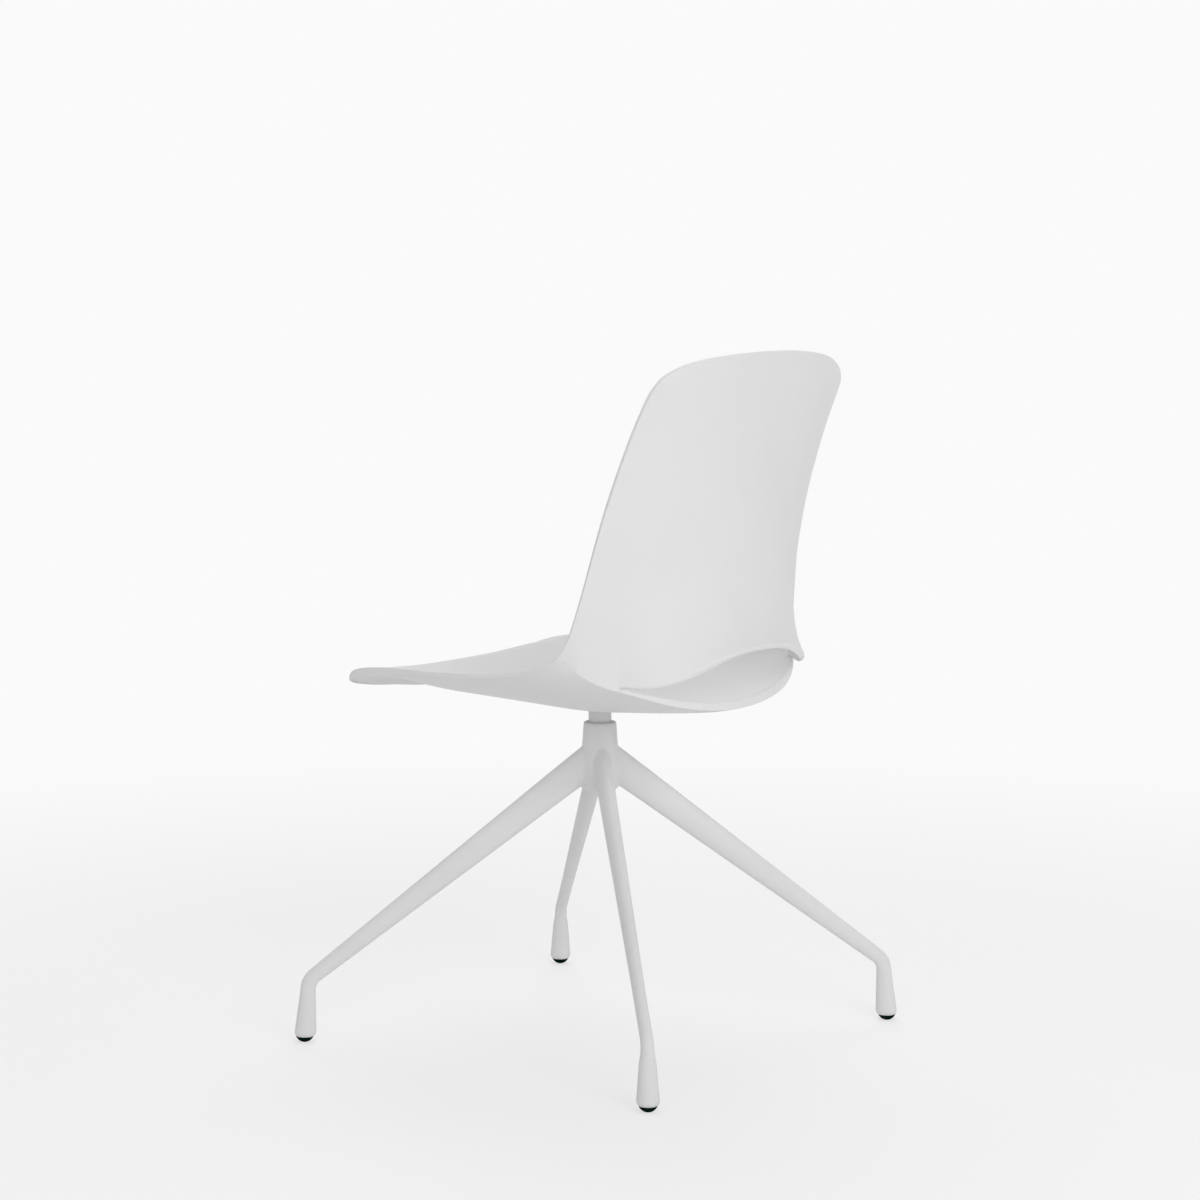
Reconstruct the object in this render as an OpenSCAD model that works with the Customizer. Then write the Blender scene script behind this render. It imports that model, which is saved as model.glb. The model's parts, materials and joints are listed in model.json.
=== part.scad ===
// Four-legged swivel visitor chair: a one-piece moulded shell with a slot between seat and back,
// carried by a turned stem that swivels in a hub with four tapered legs.
// The sitter faces -Y, +Z is up, and the origin lies on the swivel axis at floor level.

/* [Seat] */
// Width of the seat over its side rims
seat_w = 456; // [430:1:480]
// Swivel axis to the front edge of the seat
seat_front = 255; // [240:1:270]
// Swivel axis to the rear rim of the seat
seat_rear = 199; // [190:1:210]
// Rise of the ears above the belly of the seat
side_rise = 88; // [78:1:98]
// Drop of the rear rim below the line of the ears
rim_drop = 20; // [14:0.5:24]
// Wall of the shell
shell_t = 5; // [4:0.5:6]
// Height of the thickened rear rim
rim_t = 9; // [7:0.5:11]
// Extra wall of the belly over the mounting plate
belly_t = 9; // [8:0.5:12]

/* [Back] */
// Height of the back above the ears
back_h = 330; // [300:1:370]
// Width of the back below its top corners
back_w = 388; // [360:1:410]
// Setback of the top edge behind the ears
back_lean = 134; // [115:1:145]
// Setback of the ears behind the swivel axis
ear_y = 113; // [105:1:125]
// Reach of the lower lip behind the rear rim
lip_out = 32; // [26:1:36]
// Rise of the lower lip at the middle of the slot
lip_up = 33; // [26:1:40]
// Wall of the lower lip
lip_t = 7.5; // [6:0.5:9]
// Height of the ledge where the lip meets the rear rim
ledge_h = 4.5; // [3:0.5:6]
// Depth of that ledge
ledge_in = 2; // [1:0.5:3]

/* [Base] */
// Radius of the circle on which the feet stand
foot_circle_r = 350; // [320:1:360]
// Drop from the hub's top face to where the legs' centre lines meet the hub
leg_drop = 53.5; // [50:0.5:58]
// Height of the knee of each leg
knee_h = 73; // [64:1:84]
// Radius of the knee's bend
knee_r = 22; // [16:0.5:26]
// Width of a leg at the hub
leg_root_w = 21.2; // [18:0.1:24]
// Depth of a leg at the hub, square to its length
leg_root_d = 37.4; // [32:0.1:40]
// Width of a leg at the knee
leg_knee_w = 15; // [13:0.1:18]
// Depth of a leg at the knee
leg_knee_d = 17.8; // [15:0.1:20]
// Diameter of the foot at its widest
foot_d = 25.5; // [23:0.1:29]
// Outward lean of each foot's centre line
foot_lean = 5; // [2:0.5:8]

/* [Hub] */
// Height of the hub's top face
hub_top_h = 371.5; // [360:0.5:385]
// Length of the hub
hub_l = 81; // [72:1:85]
// Diameter of the hub's top face
hub_top_d = 38.2; // [36:0.1:42]
// Diameter of the hub at the legs
hub_d = 44.8; // [43:0.1:48]
// Chamfer of the hub's lower edge
hub_chamfer = 3.4; // [2:0.1:4]
// Diameter of the stem in sight below the seat
stem_d = 26.8; // [26:0.1:28]
// Diameter of the stem's journal in the bushes
journal_d = 20; // [18:0.5:21]
// Running clearance on the radius between journal and bushes
run_gap = 0.05; // [0.02:0.01:0.09]
// Clearance on the radius between the stem and the hub's mouth
mouth_gap = 0.5; // [0.4:0.1:0.6]
// Gap between moving faces that don't carry load
free_gap = 0.3; // [0.2:0.1:0.5]

/* [Plate] */
// Side of the square mounting plate
plate_w = 100; // [90:1:104]
// Thickness of the mounting plate
plate_t = 4; // [3:0.5:5]
// Corner radius of the mounting plate
plate_r = 12; // [6:1:16]
// Spacing of the four plate screws
screw_pitch = 74; // [60:1:76]
// Diameter of the plate screws
screw_d = 6; // [5:1:6]
// Outer diameter of the threaded inserts
insert_d = 9; // [8:0.5:11]
// Length of the threaded inserts
insert_l = 6; // [5:0.5:7]

/* [Glides] */
// Height of the dark dome under each foot
glide_h = 6.8; // [5:0.2:8]
// Diameter of the dome
glide_d = 20.5; // [18:0.5:23]
// Diameter of the flat on which the dome stands
glide_flat_d = 6; // [5:0.5:9]
// Diameter of the glide's pin
pin_d = 8; // [6:0.5:10]
// Length of the pin above the dome
pin_l = 24; // [18:1:30]
// Wall of the sleeve that holds the pin in the foot
sleeve_t = 1.5; // [1:0.25:2]

/* [Hidden] */
$fn = 64;
// Overrun of every cut
cut = 1;
// Rise of the mounting plate above the lowest line of the belly
plate_rise = 3;
// Rise of the belly of the shell above the hub
neck = 19.5;
belly_z = hub_top_h + neck;
leg_root_h = hub_top_h - leg_drop;
// Heads and sockets of the plate screws and of the screw that holds the stem
screw_head_h = 2.5;
screw_head_d = 11;
screw_key = 4;
bolt_d = 8;
bolt_l = 18;
bolt_head_d = 13;
bolt_head_h = 5;
bolt_key = 6;
// Bushes, washers and cap inside the hub
mouth_l = 32;
cavity_l = 17;
bush_t = 2.5;
bush_l = 14;
flange_t = 2.5;
thrust_t = 2;
washer_t = 2;
cap_l = 4;
cap_t = 1.5;
// Small shapes of the hub and the feet
hub_edge = 0.7;
chamfer_rise_share = 1.4;
hub_straight_share = 0.14;
hub_shoulder_share = 0.7;
root_depth_share = 0.6;
foot_round_h = 5.2;
foot_neck_d = 17.2;
foot_neck_w = 16;
foot_end_d = 21.3;
// Power of the dome's rise from its flat to its edge
dome_power = 1.5;
// Facets of the legs
LEG_SIDES = 24;
KNEE_STEPS = 5;
FOOT_STEPS = 3;
DOME_STEPS = 6;
white = "whitesmoke";
coated = "gainsboro";
steel = "silver";
dark = [0.05, 0.08, 0.07];

// Where the slot ends and where the ledge beyond it fades out, across half the shell
slot_share = 0.772;
ledge_share = 0.97;
// Reach of the full and of the fading extra wall of the belly, across half the shell
belly_full_share = 0.15;
belly_fade_share = 0.89;
// How far up the back the lip's flare runs
flare_share = 0.45;
// Where along the seat the rear rim begins to drop and its thick edge begins
drop_from_share = 0.7;
bead_from_share = 0.86;
// Across half the shell, where the thick edges of rim and lip begin to thin out
bead_full_share = 0.4;
// Where across half the seat its rims turn upright, and where along the seat they stop doing so
upright_from_share = 0.8;
upright_full_share = 0.45;
upright_end_share = 0.8;
// Least upward slope by which an upright rim is cut
steepest_share = 0.5;
// Powers of the curves by which the sides turn up, the rear rim drops and the ledge fades
side_power = 8;
drop_power = 1.4;
ledge_power = 6;
// Powers of the lip's flare in plan and in height, across the slot and up the back
plan_power = 4;
plan_fade_power = 2.6;
crest_power = 3.2;
crest_end_power = 2.9;
crest_fade_power = 2;
lip_fade_power = 4;

// Rows of the seat from the front edge to the seam. Each has the edge's x, y and z, the middle's
// y and z, the power of the row's sweep in plan and how late its sides rise. x follows the half
// width, y the reach to the front or rear, and z the rise of the ears.
seat_row_shares = [
  [0.768, -0.930, 0.350, -1.000, 0.104, 4.0, 0.30],
  [0.838, -0.858, 0.467, -0.933, 0.287, 3.0, 0.45],
  [0.875, -0.729, 0.515, -0.816, 0.385, 2.6, 0.50],
  [0.904, -0.569, 0.540, -0.628, 0.322, 2.4, 0.55],
  [0.939, -0.384, 0.571, -0.416, 0.172, 2.4, 0.40],
  [0.974, -0.196, 0.604, -0.204, 0.073, 2.4, 0.18],
  [0.996, -0.016, 0.645, 0.020, 0.012, 2.4, 0.08],
  [1.000, 0.201, 0.713, 0.301, 0.000, 2.4, 0.22],
  [1.002, 0.382, 0.825, 0.563, 0.104, 2.5, 0.45],
  [1.000, 0.506, 0.928, 0.794, 0.252, 2.6, 0.65],
  [0.998, 0.568, 1.000, 1.000, 0.425, 2.8, 0.80]
];
// Rows of the back from the seam to the top edge, in the same order. The first value is the taper
// of the edge towards back_w, y follows back_lean from the ears and z follows back_h.
back_row_shares = [
  [0.01, 0.000, 0.000, 0.645, -0.154, 2.8, 0.80],
  [0.16, 0.067, 0.066, 0.631, -0.026, 2.5, 0.60],
  [0.34, 0.138, 0.172, 0.627, 0.119, 2.3, 0.40],
  [0.52, 0.195, 0.276, 0.639, 0.273, 2.2, 0.30],
  [0.66, 0.273, 0.400, 0.664, 0.418, 2.1, 0.20],
  [0.78, 0.366, 0.524, 0.683, 0.545, 2.0, 0.20],
  [0.88, 0.475, 0.645, 0.735, 0.678, 2.0, 0.20],
  [0.97, 0.579, 0.750, 0.810, 0.793, 2.0, 0.20],
  [1.06, 0.686, 0.843, 0.887, 0.891, 1.9, 0.25],
  [1.16, 0.738, 0.885, 0.941, 0.950, 1.9, 0.35],
  [1.42, 0.776, 0.920, 1.000, 1.000, 1.9, 0.50]
];

// Rows of facets over the seat and the back, and columns inside and outside half the slot
SEAT_ROWS = 24;
BACK_ROWS = 24;
SLOT_COLS = 10;
EAR_COLS = 7;
// Step on the unit surface over which its slope is measured
slope_step = 0.002;

function clip(t) = min(1, max(0, t));
function smooth(t) = let(c = clip(t)) c * c * (3 - 2 * c);
// From 0 at one value to 1 at another
function fade(t, from, to) = smooth((t - from) / (to - from));
function unit(v) = v / norm(v);

// Catmull-Rom curve through b and c
function spline(a, b, c, d, t) =
  (
    2 * b + (c - a) * t + (2 * a - 5 * b + 4 * c - d) * t * t + (3 * b - a - 3 * c + d) * t * t * t
  ) / 2;

// The row of a table at v from 0 to 1
function row_at(table, v) =
  let(last = len(table) - 1, s = clip(v) * last, i = min(last - 1, floor(s)))
  spline(
    i > 0 ? table[i - 1] : 2 * table[0] - table[1],
    table[i],
    table[i + 1],
    i + 2 <= last ? table[i + 2] : 2 * table[last] - table[last - 1],
    s - i
  );

// Rise of a row from its middle, 0, to its edge, 1: late rows stay flat and turn up at the side
function sweep_up(a, late) = (1 - late) * a * a + late * pow(a, side_power);

function reach(share) = share < 0 ? share * seat_front : share * seat_rear;

// Underside of the seat at u across, from -1 to 1, and v from front to seam
function seat_at(u, v) =
  let(
    row = row_at(seat_row_shares, v),
    a = abs(u),
    q = min(1, a / slot_share),
    drop = pow(1 - q * q, drop_power) * fade(v, drop_from_share, 1),
    y_mid = reach(row[3]),
    y_edge = reach(row[1])
  )
  [
    u * row[0] * seat_w / 2,
    y_mid + (y_edge - y_mid) * pow(a, row[5]),
    belly_z + side_rise * (row[4] + (row[2] - row[4]) * sweep_up(a, row[6]))
      - rim_drop * drop
  ];

// Height that the lip gains on the seam, which sags between the ends of the slot
function lip_sag(a) =
  let(row = back_row_shares[0], end = sweep_up(slot_share, row[6]))
  -row[4] * back_h * max(0, end - sweep_up(a, row[6]));

// Rear face of the back at u across and v from seam to top
function back_at(u, v) =
  let(
    row = row_at(back_row_shares, v),
    a = abs(u),
    q = min(1, a / slot_share),
    y_mid = ear_y + row[3] * back_lean,
    y_edge = ear_y + row[1] * back_lean,
    z_mid = row[4] * back_h,
    z_edge = row[2] * back_h,
    down = 1 - clip(v / flare_share),
    ledge = fade(a, ledge_share, slot_share) * pow(down, ledge_power)
  )
  [
    u * (seat_w / 2 - row[0] * (seat_w - back_w) / 2 - ledge_in * ledge),
    y_mid + (y_edge - y_mid) * pow(a, row[5])
      + lip_out * (1 - pow(q, plan_power)) * pow(down, plan_fade_power) - ledge_in * ledge,
    belly_z + side_rise + z_mid + (z_edge - z_mid) * sweep_up(a, row[6])
      + (lip_up * pow(1 - pow(q, crest_power), crest_end_power) + lip_sag(a))
      * pow(down, crest_fade_power)
      + ledge_h * ledge
  ];

function face_at(part, u, v) = part == 0 ? seat_at(u, v) : back_at(u, v);

function inward(part, u, v) =
  let(
    across = face_at(part, min(1, u + slope_step), v) - face_at(part, max(-1, u - slope_step), v),
    along = face_at(part, u, min(1, v + slope_step)) - face_at(part, u, max(0, v - slope_step))
  )
  unit(cross(across, along));

// Point on the outer side of the shell, where the rear rim is thickened
function outer_at(part, u, v) =
  let(
    rise = fade(v, bead_from_share, 1),
    bead = part == 0 ? rise * rise * fade(abs(u), slot_share, bead_full_share) : 0
  )
  face_at(part, u, v) - (rim_t - shell_t) * bead * inward(part, u, v);

// Point on the sitter's side of the shell, opposite face_at. The side rims are cut upright.
function inner_at(part, u, v) =
  let(
    p = face_at(part, u, v),
    n = inward(part, u, v),
    spot = norm([p[0], p[1]]) / (seat_w / 2),
    belly = fade(spot, belly_fade_share, belly_full_share),
    lip = fade(abs(u), slot_share, bead_full_share) * pow(1 - clip(v / flare_share), lip_fade_power),
    wall = shell_t + (part == 0 ? belly_t * belly : (lip_t - shell_t) * lip),
    side = fade(abs(u), upright_from_share, 1) * fade(v, upright_end_share, upright_full_share),
    upright = part == 0 ? side : 0
  )
  p + wall * ((1 - upright) * n + upright * [0, 0, 1 / max(steepest_share, n[2])]);

columns = concat(
  [for (j = [EAR_COLS:-1:1]) -(slot_share + (1 - slot_share) * j / EAR_COLS)],
  [for (j = [-SLOT_COLS:SLOT_COLS]) slot_share * sin(90 * j / SLOT_COLS)],
  [for (j = [1:EAR_COLS]) slot_share + (1 - slot_share) * j / EAR_COLS]
);
col_n = len(columns);
row_n = SEAT_ROWS + BACK_ROWS + 2;
lip_row = SEAT_ROWS + 1;
slot_from = EAR_COLS;
slot_to = col_n - 1 - EAR_COLS;

function row_part(i) = i < lip_row ? 0 : 1;
function row_v(i) = i < lip_row ? i / SEAT_ROWS : (i - lip_row) / BACK_ROWS;
function in_slot(j) = j > slot_from && j < slot_to;
function in_ledge(j) = j > 0 && j < col_n - 1;

// Index of a grid point, side 0 outside and 1 towards the sitter. Beyond the slot's ends seat and
// back share one row of points inside, and beyond the ledge's ends they share it outside as well.
function id(i, j, side) =
  let(
    row = side == 0
      ? (i == lip_row && !in_ledge(j) ? SEAT_ROWS : i)
      : (i == SEAT_ROWS && !in_slot(j) ? lip_row : i)
  )
  (side * row_n + row) * col_n + j;

function quad(a, b, c, d) = [[a, b, c], [a, c, d]];
function quad_mirrored(a, b, c, d) = [[a, b, d], [b, c, d]];

shell_faces = [
  for (i = [0:row_n - 2], j = [0:col_n - 2], side = [0, 1])
    if (i != SEAT_ROWS)
      let(
        p = [id(i, j, side), id(i, j + 1, side), id(i + 1, j + 1, side), id(i + 1, j, side)],
        pair = j < (col_n - 1) / 2 ? quad_mirrored(p[0], p[1], p[2], p[3]) : quad(p[0], p[1], p[2], p[3])
      )
      for (t = pair) side == 0 ? t : [t[2], t[1], t[0]]
];

// Wall between the two sides along a run of grid points
function edge_wall(run) = [
  for (k = [0:len(run) - 2])
    let(p = run[k], q = run[k + 1])
    each quad(id(p[0], p[1], 0), id(q[0], q[1], 0), id(q[0], q[1], 1), id(p[0], p[1], 1))
];
side_rows = concat([for (i = [0:SEAT_ROWS]) i], [for (i = [lip_row + 1:row_n - 1]) i]);
side_n = len(side_rows);
shell_walls = concat(
  edge_wall([for (j = [col_n - 1:-1:0]) [0, j]]),
  edge_wall([for (i = side_rows) [i, 0]]),
  edge_wall([for (j = [0:col_n - 1]) [row_n - 1, j]]),
  edge_wall([for (k = [side_n - 1:-1:0]) [side_rows[k], col_n - 1]]),
  edge_wall([for (j = [slot_from:slot_to]) [SEAT_ROWS, j]]),
  edge_wall([for (j = [slot_to:-1:slot_from]) [lip_row, j]])
);

// Ledge between the rim of the seat and the foot of the back, beyond each end of the slot
function ledge_strip(from, to) = [
  for (j = [from:to - 1])
    let(
      p = [id(SEAT_ROWS, j, 0), id(SEAT_ROWS, j + 1, 0), id(lip_row, j + 1, 0), id(lip_row, j, 0)]
    )
    for (t = quad(p[0], p[1], p[2], p[3])) if (t[0] != t[1] && t[1] != t[2] && t[0] != t[2]) t
];
ledges = concat(
  ledge_strip(0, slot_from),
  ledge_strip(slot_to, col_n - 1),
  [
    [id(SEAT_ROWS, slot_from, 0), id(SEAT_ROWS, slot_from, 1), id(lip_row, slot_from, 0)],
    [id(SEAT_ROWS, slot_to, 0), id(lip_row, slot_to, 0), id(SEAT_ROWS, slot_to, 1)]
  ]
);

// Levels of the plate, its pocket and the stem
plate_z = belly_z + plate_rise;
pocket_z = plate_z + plate_t;

module corners(pitch) {
  for (x = [-1, 1], y = [-1, 1]) translate([x * pitch / 2, y * pitch / 2]) children();
}

module rounded_square(side, r) {
  square([side - 2 * r, side], center = true);
  square([side, side - 2 * r], center = true);
  corners(side - 2 * r) circle(r);
}

module seat_shell() {
  color(white) difference() {
    polyhedron(
      points = concat(
        [for (i = [0:row_n - 1], u = columns) outer_at(row_part(i), u, row_v(i))],
        [for (i = [0:row_n - 1], u = columns) inner_at(row_part(i), u, row_v(i))]
      ),
      faces = concat(shell_faces, shell_walls, ledges),
      convexity = 8
    );
    translate([0, 0, pocket_z - side_rise])
      linear_extrude(side_rise) rounded_square(plate_w + 2 * free_gap, plate_r);
    corners(screw_pitch) translate([0, 0, pocket_z - cut]) cylinder(d = insert_d, h = insert_l + cut);
  }
}

module shell_inserts() {
  color("goldenrod") corners(screw_pitch) translate([0, 0, pocket_z]) difference() {
    cylinder(d = insert_d, h = insert_l);
    translate([0, 0, -cut]) cylinder(d = screw_d, h = insert_l + 2 * cut);
  }
}

module mounting_plate() {
  color(steel) translate([0, 0, plate_z]) linear_extrude(plate_t) difference() {
    rounded_square(plate_w, plate_r);
    corners(screw_pitch) circle(d = screw_d + 2 * free_gap);
    circle(d = journal_d);
  }
}

module plate_screws() {
  color(steel) corners(screw_pitch) {
    translate([0, 0, plate_z]) cylinder(d = screw_d, h = plate_t + insert_l);
    translate([0, 0, plate_z - screw_head_h]) difference() {
      cylinder(d1 = screw_d, d2 = screw_head_d, h = screw_head_h);
      translate([0, 0, -cut]) cylinder(d = screw_key, h = cut + screw_head_h / 2, $fn = 6);
    }
  }
}

// Levels inside the hub, from its mouth down to its cap
hub_z = hub_top_h - hub_l;
mouth_z = hub_top_h - mouth_l;
cavity_z = hub_z + cavity_l;
washer_z = mouth_z + flange_t;
shoulder_z = washer_z + thrust_t + run_gap;
stem_end_z = cavity_z - flange_t - free_gap;
mouth_d = stem_d + 2 * mouth_gap;
bush_d = journal_d + 2 * (run_gap + bush_t);

module stem() {
  color(coated) difference() {
    union() {
      translate([0, 0, shoulder_z]) cylinder(d = stem_d, h = plate_z - shoulder_z);
      translate([0, 0, stem_end_z]) cylinder(d = journal_d, h = pocket_z - stem_end_z);
    }
    translate([0, 0, stem_end_z - cut]) cylinder(d = bolt_d, h = bolt_l + cut);
  }
}

module thrust_washer() {
  color("ivory") translate([0, 0, washer_z]) difference() {
    cylinder(d = mouth_d - 2 * run_gap, h = thrust_t);
    translate([0, 0, -cut]) cylinder(d = journal_d + 2 * free_gap, h = thrust_t + 2 * cut);
  }
}

// A flanged bush with its flange on top, drawn from the underside of the flange
module flanged_bush() {
  difference() {
    union() {
      cylinder(d = mouth_d - 2 * run_gap, h = flange_t);
      translate([0, 0, -bush_l]) cylinder(d = bush_d, h = bush_l + flange_t / 2);
    }
    translate([0, 0, -bush_l - cut])
      cylinder(d = journal_d + 2 * run_gap, h = bush_l + flange_t + 2 * cut);
  }
}

module upper_bush() {
  color("ivory") translate([0, 0, mouth_z]) flanged_bush();
}

module lower_bush() {
  color("ivory") translate([0, 0, cavity_z]) mirror([0, 0, 1]) flanged_bush();
}

module retaining_washer() {
  color(steel) translate([0, 0, stem_end_z - washer_t]) difference() {
    cylinder(d = bush_d, h = washer_t);
    translate([0, 0, -cut]) cylinder(d = bolt_d, h = washer_t + 2 * cut);
  }
}

module retaining_screw() {
  color(steel) translate([0, 0, stem_end_z - washer_t]) {
    cylinder(d = bolt_d, h = washer_t + bolt_l);
    translate([0, 0, -bolt_head_h]) difference() {
      cylinder(d = bolt_head_d, h = bolt_head_h);
      translate([0, 0, -cut]) cylinder(d = bolt_key, h = cut + bolt_head_h / 2, $fn = 6);
    }
  }
}

// Outline of the hub from the axis, without its bores
module hub_outline() {
  top_r = hub_top_d / 2;
  r = hub_d / 2;
  polygon([
    [0, hub_z],
    [r - hub_chamfer, hub_z],
    [r, hub_z + hub_chamfer * chamfer_rise_share],
    [r, hub_z + hub_l * hub_straight_share],
    [top_r + (r - top_r) * hub_shoulder_share, leg_root_h + leg_root_d / 2],
    [top_r, hub_top_h - hub_edge],
    [top_r - hub_edge, hub_top_h],
    [0, hub_top_h]
  ]);
}

module hub() {
  color(coated) difference() {
    rotate_extrude() hub_outline();
    translate([0, 0, hub_z - cut]) cylinder(d = bush_d, h = hub_l + 2 * cut);
    translate([0, 0, mouth_z]) cylinder(d = mouth_d, h = mouth_l + cut);
    translate([0, 0, hub_z - cut]) cylinder(d = mouth_d, h = cavity_l + cut);
  }
}

module hub_cap() {
  color(coated) translate([0, 0, hub_z]) difference() {
    cylinder(d = mouth_d - 2 * run_gap, h = cap_l);
    translate([0, 0, cap_t]) cylinder(d = mouth_d - 2 * run_gap - 2 * cap_t, h = cap_l);
  }
}

// Centre line of a leg in its own upright plane, as distance from the axis and height
knee = [foot_circle_r - foot_lean, knee_h];
root = [hub_d / 2, leg_root_h];
ground = [foot_circle_r, 0];
leg_way = unit(knee - root);
foot_way = unit(ground - knee);
knee_angle = acos(leg_way * foot_way);
knee_run = knee_r * tan(knee_angle / 2);
leg_l = norm(knee - root) - knee_run;
bend_start = knee - knee_run * leg_way;
bend_end = knee + knee_run * foot_way;
foot_wide_z = glide_h + foot_round_h;

function turned(way, angle) =
  [way[0] * cos(angle) + way[1] * sin(angle), way[1] * cos(angle) - way[0] * sin(angle)];
function square_to(way) = [-way[1], way[0]];

// A ring of the leg: centre, upward direction across the section, half depth and half width
function ring(centre, way, depth, width) = [centre, square_to(way), depth / 2, width / 2];
bend_centre = bend_start - knee_r * square_to(leg_way);
knee_rings = [
  for (k = [0:KNEE_STEPS])
    let(way = turned(leg_way, knee_angle * k / KNEE_STEPS), s = k / KNEE_STEPS)
    ring(
      bend_centre + knee_r * square_to(way), way,
      leg_knee_d + (foot_neck_d - leg_knee_d) * s, leg_knee_w + (foot_neck_w - leg_knee_w) * smooth(s)
    )
];
foot_level = [0, -1];
function foot_axis(z) = [foot_circle_r - foot_lean * z / knee_h, z];
foot_rings = [
  for (k = [0:FOOT_STEPS])
    let(a = 90 * k / FOOT_STEPS, z = foot_wide_z - foot_round_h * sin(a))
    ring(
      foot_axis(z), foot_level,
      foot_d - (foot_d - foot_end_d) * (1 - cos(a)), foot_d - (foot_d - foot_end_d) * (1 - cos(a))
    )
];
// How far the first ring lies inside the hub, as a share of the leg's length
root_share = -root[0] * root_depth_share / leg_l;
leg_rings = concat(
  [
    ring(
      root + leg_way * leg_l * root_share, leg_way,
      leg_root_d + (leg_knee_d - leg_root_d) * root_share,
      leg_root_w + (leg_knee_w - leg_root_w) * root_share
    )
  ],
  knee_rings, foot_rings
);

module leg_blank() {
  last = len(leg_rings) - 1;
  points = [
    for (r = leg_rings, k = [0:LEG_SIDES - 1])
      let(a = 360 * k / LEG_SIDES, p = r[0] + r[1] * r[2] * sin(a))
      [p[0], r[3] * cos(a), p[1]]
  ];
  sides = [
    for (i = [0:last - 1], k = [0:LEG_SIDES - 1])
      let(n = (k + 1) % LEG_SIDES, a = i * LEG_SIDES + k, b = i * LEG_SIDES + n)
      each [[a, b + LEG_SIDES, b], [a, a + LEG_SIDES, b + LEG_SIDES]]
  ];
  caps = [
    [for (k = [0:LEG_SIDES - 1]) k],
    [for (k = [LEG_SIDES - 1:-1:0]) last * LEG_SIDES + k]
  ];
  polyhedron(points = points, faces = concat(sides, caps), convexity = 4);
}

function leg_angle(side, end) = end > 0 ? 90 - 45 * side : -90 + 45 * side;

// A leg, coped to the hub and bored for its glide; side 1 is the sitter's left, end 1 the rear
module leg(side, end) {
  color(coated) rotate([0, 0, leg_angle(side, end)]) difference() {
    leg_blank();
    rotate_extrude() hub_outline();
    translate([foot_circle_r, 0, glide_h - cut])
      cylinder(d = pin_d + 2 * sleeve_t, h = pin_l + cut);
  }
}

module leg_front_left() { leg(1, -1); }
module leg_front_right() { leg(-1, -1); }
module leg_rear_left() { leg(1, 1); }
module leg_rear_right() { leg(-1, 1); }

module glide(side, end) {
  flat_r = glide_flat_d / 2;
  r = glide_d / 2;
  color(dark) rotate([0, 0, leg_angle(side, end)]) translate([foot_circle_r, 0, 0]) {
    rotate_extrude() polygon(concat(
      [[0, 0]],
      [
        for (k = [0:DOME_STEPS])
          let(s = k / DOME_STEPS) [flat_r + (r - flat_r) * s, glide_h * pow(s, dome_power)]
      ],
      [[pin_d / 2, glide_h], [pin_d / 2, glide_h + pin_l], [0, glide_h + pin_l]]
    ));
  }
}

module glide_front_left() { glide(1, -1); }
module glide_front_right() { glide(-1, -1); }
module glide_rear_left() { glide(1, 1); }
module glide_rear_right() { glide(-1, 1); }

module glide_sleeves() {
  color("dimgray") for (side = [-1, 1], end = [-1, 1])
    rotate([0, 0, leg_angle(side, end)]) translate([foot_circle_r, 0, glide_h]) difference() {
      cylinder(d = pin_d + 2 * sleeve_t, h = pin_l);
      translate([0, 0, -cut]) cylinder(d = pin_d, h = pin_l + 2 * cut);
    }
}

seat_shell();
shell_inserts();
mounting_plate();
plate_screws();
stem();
thrust_washer();
upper_bush();
lower_bush();
retaining_washer();
retaining_screw();
hub();
hub_cap();
leg_front_left();
leg_front_right();
leg_rear_left();
leg_rear_right();
glide_front_left();
glide_front_right();
glide_rear_left();
glide_rear_right();
glide_sleeves();
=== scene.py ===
import json
import math

import bmesh
import bpy
import numpy
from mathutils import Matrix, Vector


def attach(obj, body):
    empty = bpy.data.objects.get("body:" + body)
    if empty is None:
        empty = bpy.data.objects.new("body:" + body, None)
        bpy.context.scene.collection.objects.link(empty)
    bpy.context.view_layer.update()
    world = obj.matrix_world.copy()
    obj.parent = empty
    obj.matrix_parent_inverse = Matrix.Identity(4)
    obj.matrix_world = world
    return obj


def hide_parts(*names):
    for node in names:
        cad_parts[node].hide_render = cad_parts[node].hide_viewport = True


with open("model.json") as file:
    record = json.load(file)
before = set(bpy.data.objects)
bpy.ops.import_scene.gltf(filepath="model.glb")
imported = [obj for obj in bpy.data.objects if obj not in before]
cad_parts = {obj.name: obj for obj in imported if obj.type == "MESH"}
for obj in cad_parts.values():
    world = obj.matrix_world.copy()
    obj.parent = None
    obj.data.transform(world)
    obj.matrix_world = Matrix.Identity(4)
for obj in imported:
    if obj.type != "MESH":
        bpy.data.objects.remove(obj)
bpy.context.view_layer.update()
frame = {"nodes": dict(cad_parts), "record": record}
nodes = frame["nodes"]

# Places and sizes are in metres in the part's frame: Z up, -Y towards the seat's front edge

# Camera
CAMERA_AT = Vector((2.8071, 2.0771, 0.9062))
CAMERA_PITCH_DOWN = math.radians(6.39)
CAMERA_LENS_MM = 90
SENSOR_MM = 36

# Studio: tones are shares of white
BACKDROP_TONE = 0.955
FLOOR_TONE = 0.9
FLOOR_SIDE = 80
FILL_LIGHT = 0.46
# Share of the floor's shading that the camera sees, and the distances over which it fades out
SHADOW_SHARE = 0.35
SHADOW_FADE = (0.6, 2.2)
LAMPS_AIM_AT = Vector((0, 0, 0.45))
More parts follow.
